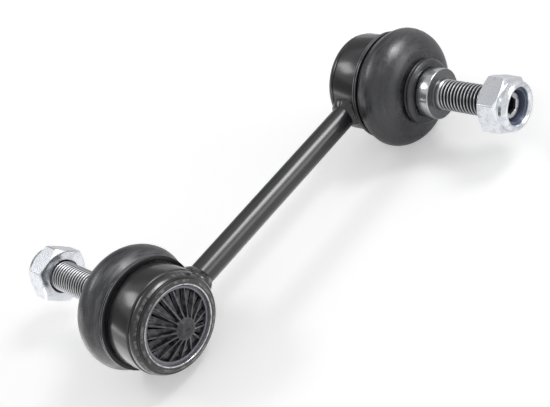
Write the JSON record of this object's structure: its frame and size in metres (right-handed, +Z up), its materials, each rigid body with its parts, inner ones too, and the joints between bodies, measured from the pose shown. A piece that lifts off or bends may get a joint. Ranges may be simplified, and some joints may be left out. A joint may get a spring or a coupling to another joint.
{
  "type": "stabilizer link",
  "caption": "Stabilizer link: a straight black rod with a booted ball joint at each end, the threaded studs facing opposite ways, each with a collar and a lock nut.",
  "frame": {"origin": "midway between the two ball centres, on the rod's axis", "axes": "+X along the rod from the lower joint to the upper, the upper stud along -Y and the lower along +Y, +Z up as the link lies flat on its boots"},
  "size_m": [0.1502, 0.1175, 0.0392],
  "materials": {
    "black_paint": "semi-gloss black paint over steel",
    "boot_rubber": "satin moulded rubber",
    "cap_plastic": "gloss black moulded plastic",
    "seat_plastic": "natural acetal",
    "ring_steel": "blackened spring steel",
    "zinc_steel": "bright zinc plate",
    "stud_steel": "dark oiled steel",
    "nylon": "dark blue nylon"
  },
  "bodies": {
    "link": {"link_rod": "black_paint", "upper_weld": "black_paint", "upper_housing": "black_paint", "upper_ball_seat": "seat_plastic", "upper_end_cap": "cap_plastic", "upper_boot_clamp": "ring_steel", "lower_weld": "black_paint", "lower_housing": "black_paint", "lower_ball_seat": "seat_plastic", "lower_end_cap": "cap_plastic", "lower_boot_clamp": "ring_steel"},
    "upper_boot": {"upper_dust_boot": "boot_rubber"},
    "upper_boot_neck": {"upper_neck_ring": "ring_steel"},
    "upper_stud": {"upper_ball_stud": "stud_steel"},
    "upper_insert": {"upper_nut_insert": "nylon"},
    "upper_nut": {"upper_lock_nut": "zinc_steel"},
    "lower_boot": {"lower_dust_boot": "boot_rubber"},
    "lower_boot_neck": {"lower_neck_ring": "ring_steel"},
    "lower_stud": {"lower_ball_stud": "stud_steel"},
    "lower_insert": {"lower_nut_insert": "nylon"},
    "lower_nut": {"lower_lock_nut": "zinc_steel"}
  },
  "joints": [
    {"name": "upper_swing", "type": "hinge", "parent": "link", "child": "upper_boot", "pos_m": [0.0555, 0, 0], "axis": [0, 0, 1], "range_deg": [-20, 20], "deforming": ["upper_dust_boot"]},
    {"name": "upper_lean", "type": "hinge", "parent": "upper_boot", "child": "upper_boot_neck", "pos_m": [0.0555, 0, 0], "axis": [1, 0, 0], "range_deg": [-20, 20], "deforming": ["upper_dust_boot"]},
    {"name": "upper_stud_turn", "type": "hinge", "parent": "upper_boot_neck", "child": "upper_stud", "pos_m": [0.0555, 0, 0], "axis": [0, -1, 0], "continuous": true},
    {"name": "upper_nut_travel", "type": "slide", "parent": "upper_stud", "child": "upper_insert", "axis": [0, -1, 0], "range_m": [-0.0171, 0.027]},
    {"name": "upper_nut_turn", "type": "hinge", "parent": "upper_insert", "child": "upper_nut", "pos_m": [0.0555, 0, 0], "axis": [0, -1, 0], "continuous": true},
    {"name": "lower_swing", "type": "hinge", "parent": "link", "child": "lower_boot", "pos_m": [-0.0555, 0, 0], "axis": [0, 0, 1], "range_deg": [-20, 20], "deforming": ["lower_dust_boot"]},
    {"name": "lower_lean", "type": "hinge", "parent": "lower_boot", "child": "lower_boot_neck", "pos_m": [-0.0555, 0, 0], "axis": [-1, 0, 0], "range_deg": [-20, 20], "deforming": ["lower_dust_boot"]},
    {"name": "lower_stud_turn", "type": "hinge", "parent": "lower_boot_neck", "child": "lower_stud", "pos_m": [-0.0555, 0, 0], "axis": [0, 1, 0], "continuous": true},
    {"name": "lower_nut_travel", "type": "slide", "parent": "lower_stud", "child": "lower_insert", "axis": [0, 1, 0], "range_m": [-0.0196, 0.0245]},
    {"name": "lower_nut_turn", "type": "hinge", "parent": "lower_insert", "child": "lower_nut", "pos_m": [-0.0555, 0, 0], "axis": [0, 1, 0], "continuous": true}
  ],
  "couplings": [
    {"joint": "upper_nut_turn", "follows": "upper_nut_travel", "rad_per_m": 5026.5},
    {"joint": "lower_nut_turn", "follows": "lower_nut_travel", "rad_per_m": 5026.5}
  ]
}
